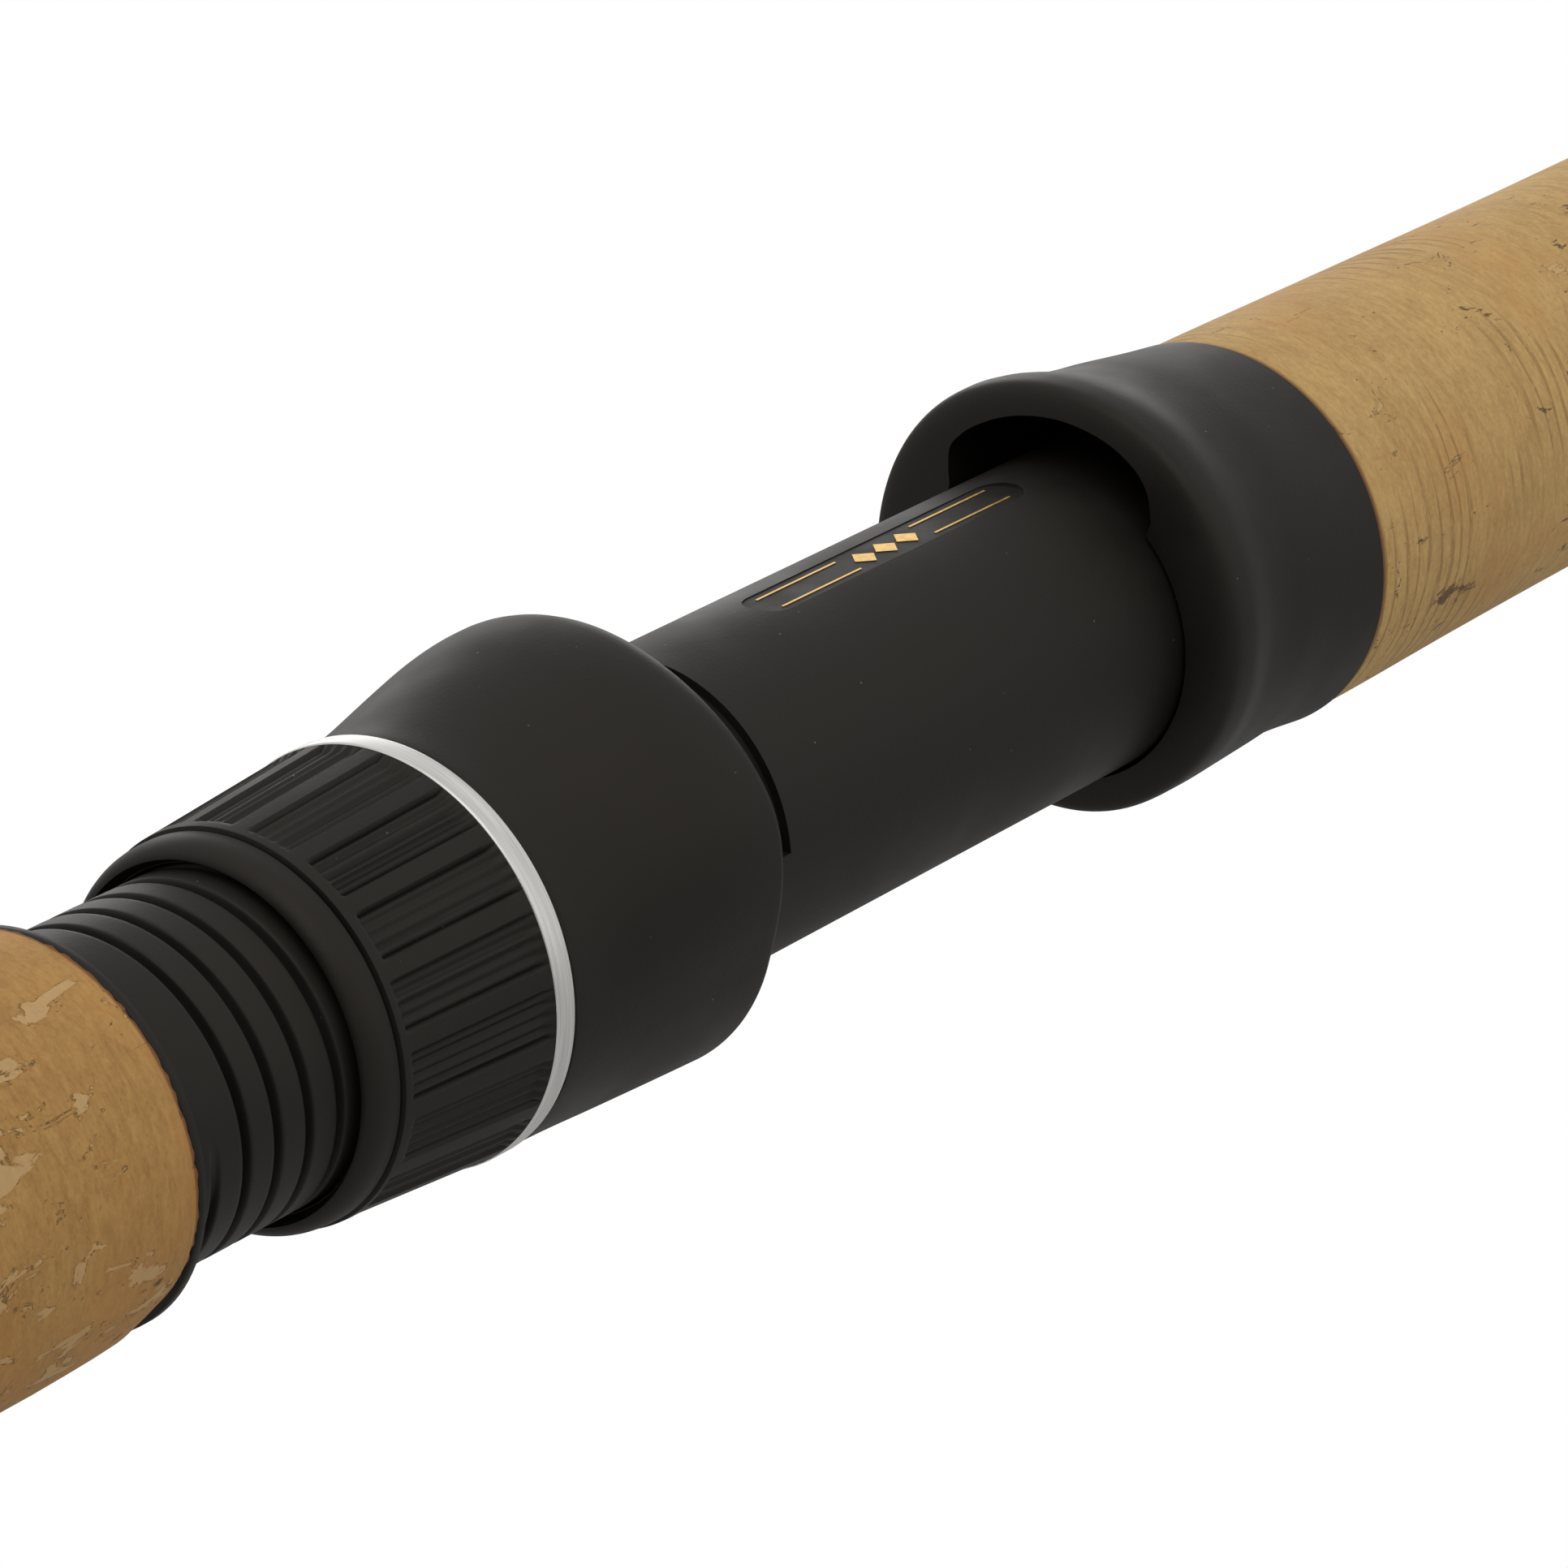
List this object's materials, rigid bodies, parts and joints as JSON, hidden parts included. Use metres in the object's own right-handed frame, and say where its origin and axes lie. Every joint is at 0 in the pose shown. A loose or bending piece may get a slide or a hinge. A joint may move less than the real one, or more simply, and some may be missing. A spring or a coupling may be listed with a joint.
{
  "type": "fishing rod",
  "caption": "Two-piece fishing rod with turned cork grips, a reel seat with one fixed and one sliding hood, a ribbed lock nut and ringed line guides.",
  "frame": {"origin": "centre of the rod's butt end face", "axes": "+X along the rod from butt to tip; +Z towards the side of the reel foot and the line guides; +Y completes a right-handed frame"},
  "size_m": [1.83, 0.0358, 0.0646],
  "materials": {
    "rubber": "matt moulded rubber",
    "cork": "sanded natural cork",
    "seat_plastic": "fine matt moulded nylon",
    "key_plastic": "matt moulded acetal",
    "badge": "printed strip with gold rules",
    "ring_metal": "brushed round",
    "arbor_foam": "turned cork bush",
    "blank_carbon": "clear-coated dark graphite",
    "check_rubber": "smooth rubber",
    "thread_wrap": "nylon thread under clear epoxy",
    "guide_steel": "dark polished wire",
    "guide_ceramic": "polished dark ceramic"
  },
  "bodies": {
    "butt_section": {"butt_cap": "rubber", "rear_grip": "cork", "fore_grip": "cork", "winding_check": "check_rubber", "blank_butt": "blank_carbon", "ferrule_spigot": "blank_carbon", "ferrule_wrap_butt": "thread_wrap", "seat_barrel": "seat_plastic", "seat_badge": "badge", "seat_arbor_rear": "arbor_foam", "seat_arbor_front": "arbor_foam", "fixed_hood": "seat_plastic", "hook_keeper": "guide_steel", "hook_keeper_wraps": "thread_wrap", "guide_1_frame": "guide_steel", "guide_1_ring": "guide_ceramic", "guide_1_wraps": "thread_wrap"},
    "hood": {"movable_hood": "seat_plastic", "hood_key": "key_plastic"},
    "nut": {"lock_nut": "seat_plastic", "slip_ring": "ring_metal"},
    "tip_section": {"blank_tip": "blank_carbon", "ferrule_wrap_tip": "thread_wrap", "guide_2_frame": "guide_steel", "guide_2_ring": "guide_ceramic", "guide_2_wraps": "thread_wrap", "guide_3_frame": "guide_steel", "guide_3_ring": "guide_ceramic", "guide_3_wraps": "thread_wrap", "guide_4_frame": "guide_steel", "guide_4_ring": "guide_ceramic", "guide_4_wraps": "thread_wrap", "guide_5_frame": "guide_steel", "guide_5_ring": "guide_ceramic", "guide_5_wraps": "thread_wrap", "guide_6_frame": "guide_steel", "guide_6_ring": "guide_ceramic", "guide_6_wraps": "thread_wrap", "tip_top_frame": "guide_steel", "tip_top_ring": "guide_ceramic"}
  },
  "joints": [
    {"name": "hood_slide", "type": "slide", "parent": "butt_section", "child": "hood", "axis": [1, 0, 0], "range_m": [-0.01375, 0.00439]},
    {"name": "nut_turn", "type": "hinge", "parent": "hood", "child": "nut", "pos_m": [0.29855, 0, 0], "axis": [1, 0, 0], "range_deg": [-1548, 486]},
    {"name": "tip_section_pull", "type": "slide", "parent": "butt_section", "child": "tip_section", "axis": [1, 0, 0], "range_m": [0, 0.102]}
  ],
  "couplings": [
    {"joint": "hood_slide", "follows": "nut_turn", "m_per_rad": 0.00050532}
  ]
}
